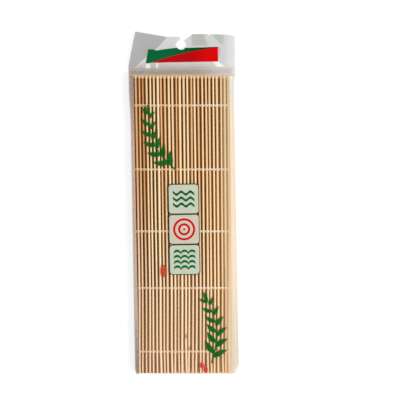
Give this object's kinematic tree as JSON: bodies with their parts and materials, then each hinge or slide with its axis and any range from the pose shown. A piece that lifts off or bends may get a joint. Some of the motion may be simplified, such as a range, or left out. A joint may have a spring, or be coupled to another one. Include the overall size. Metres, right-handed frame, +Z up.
{
  "type": "sushi rolling mat",
  "caption": "Bamboo slat mat bound with thread rows, folded like a fan in a clear hanging bag; it unfolds flat and rolls into a tube.",
  "frame": {"origin": "on the underside of the bag, below the middle of the mat", "axes": "+Z up out of the surface that the mat lies on, +Y along the slats towards the bag's header"},
  "size_m": [0.084, 0.275, 0.008],
  "materials": {
    "bamboo": "bare split bamboo, satin crown and fibrous ends",
    "thread": "twisted cotton thread",
    "clear_film": "clear film, glossy and slightly hazy",
    "header_film": "doubled clear film, creased"
  },
  "bodies": {
    "bottom_third": {"slats_bottom": "bamboo", "bindings_bottom": "thread"},
    "middle_third": {"slats_middle": "bamboo", "bindings_middle": "thread"},
    "top_01": {"slats_top_01": "bamboo", "bindings_top_01": "thread"},
    "top_02": {"slats_top_02": "bamboo", "bindings_top_02": "thread"},
    "top_03": {"slats_top_03": "bamboo", "bindings_top_03": "thread"},
    "top_04": {"slats_top_04": "bamboo", "bindings_top_04": "thread"},
    "top_05": {"slats_top_05": "bamboo", "bindings_top_05": "thread"},
    "top_06": {"slats_top_06": "bamboo", "bindings_top_06": "thread"},
    "top_07": {"slats_top_07": "bamboo", "bindings_top_07": "thread"},
    "top_08": {"slats_top_08": "bamboo", "bindings_top_08": "thread"},
    "top_09": {"slats_top_09": "bamboo", "bindings_top_09": "thread"},
    "top_10": {"slats_top_10": "bamboo", "bindings_top_10": "thread"},
    "top_11": {"slats_top_11": "bamboo", "bindings_top_11": "thread"},
    "top_12": {"slats_top_12": "bamboo", "bindings_top_12": "thread"},
    "top_13": {"slats_top_13": "bamboo", "bindings_top_13": "thread"},
    "bag": {"bag_back": "clear_film", "bag_front": "clear_film", "bag_header": "header_film"}
  },
  "joints": [
    {"name": "unfold", "type": "hinge", "parent": "bottom_third", "child": "middle_third", "pos_m": [0.0388, 0, 0.00273], "axis": [0, 1, 0], "range_deg": [0, 180], "deforming": ["bag_front"]},
    {"name": "unfold_top", "type": "hinge", "parent": "middle_third", "child": "top_01", "pos_m": [-0.0392, 0, 0.00523], "axis": [0, 1, 0], "range_deg": [-180, 0]},
    {"name": "bag_slide", "type": "slide", "parent": "bottom_third", "child": "bag", "axis": [0, 1, 0], "range_m": [0, 0.275]},
    {"name": "roll", "type": "hinge", "parent": "top_01", "child": "top_02", "pos_m": [-0.0332, 0, 0.00623], "axis": [0, -1, 0], "range_deg": [0, 24], "deforming": ["bag_front"]},
    {"name": "roll_03", "type": "hinge", "parent": "top_02", "child": "top_03", "pos_m": [-0.0272, 0, 0.00623], "axis": [0, -1, 0], "range_deg": [0, 24]},
    {"name": "roll_04", "type": "hinge", "parent": "top_03", "child": "top_04", "pos_m": [-0.0212, 0, 0.00623], "axis": [0, -1, 0], "range_deg": [0, 24]},
    {"name": "roll_05", "type": "hinge", "parent": "top_04", "child": "top_05", "pos_m": [-0.0152, 0, 0.00623], "axis": [0, -1, 0], "range_deg": [0, 24]},
    {"name": "roll_06", "type": "hinge", "parent": "top_05", "child": "top_06", "pos_m": [-0.0092, 0, 0.00623], "axis": [0, -1, 0], "range_deg": [0, 24]},
    {"name": "roll_07", "type": "hinge", "parent": "top_06", "child": "top_07", "pos_m": [-0.0032, 0, 0.00623], "axis": [0, -1, 0], "range_deg": [0, 24]},
    {"name": "roll_08", "type": "hinge", "parent": "top_07", "child": "top_08", "pos_m": [0.0028, 0, 0.00623], "axis": [0, -1, 0], "range_deg": [0, 24]},
    {"name": "roll_09", "type": "hinge", "parent": "top_08", "child": "top_09", "pos_m": [0.0088, 0, 0.00623], "axis": [0, -1, 0], "range_deg": [0, 24]},
    {"name": "roll_10", "type": "hinge", "parent": "top_09", "child": "top_10", "pos_m": [0.0148, 0, 0.00623], "axis": [0, -1, 0], "range_deg": [0, 24]},
    {"name": "roll_11", "type": "hinge", "parent": "top_10", "child": "top_11", "pos_m": [0.0208, 0, 0.00623], "axis": [0, -1, 0], "range_deg": [0, 24]},
    {"name": "roll_12", "type": "hinge", "parent": "top_11", "child": "top_12", "pos_m": [0.0268, 0, 0.00623], "axis": [0, -1, 0], "range_deg": [0, 24]},
    {"name": "roll_13", "type": "hinge", "parent": "top_12", "child": "top_13", "pos_m": [0.0328, 0, 0.00623], "axis": [0, -1, 0], "range_deg": [0, 24]}
  ],
  "couplings": [
    {"joint": "unfold_top", "follows": "unfold", "ratio": -1},
    {"joint": "bag_slide", "follows": "unfold", "m_per_rad": 0.0859},
    {"joint": "roll_03", "follows": "roll", "ratio": 1},
    {"joint": "roll_04", "follows": "roll", "ratio": 1},
    {"joint": "roll_05", "follows": "roll", "ratio": 1},
    {"joint": "roll_06", "follows": "roll", "ratio": 1},
    {"joint": "roll_07", "follows": "roll", "ratio": 1},
    {"joint": "roll_08", "follows": "roll", "ratio": 1},
    {"joint": "roll_09", "follows": "roll", "ratio": 1},
    {"joint": "roll_10", "follows": "roll", "ratio": 1},
    {"joint": "roll_11", "follows": "roll", "ratio": 1},
    {"joint": "roll_12", "follows": "roll", "ratio": 1},
    {"joint": "roll_13", "follows": "roll", "ratio": 1}
  ]
}
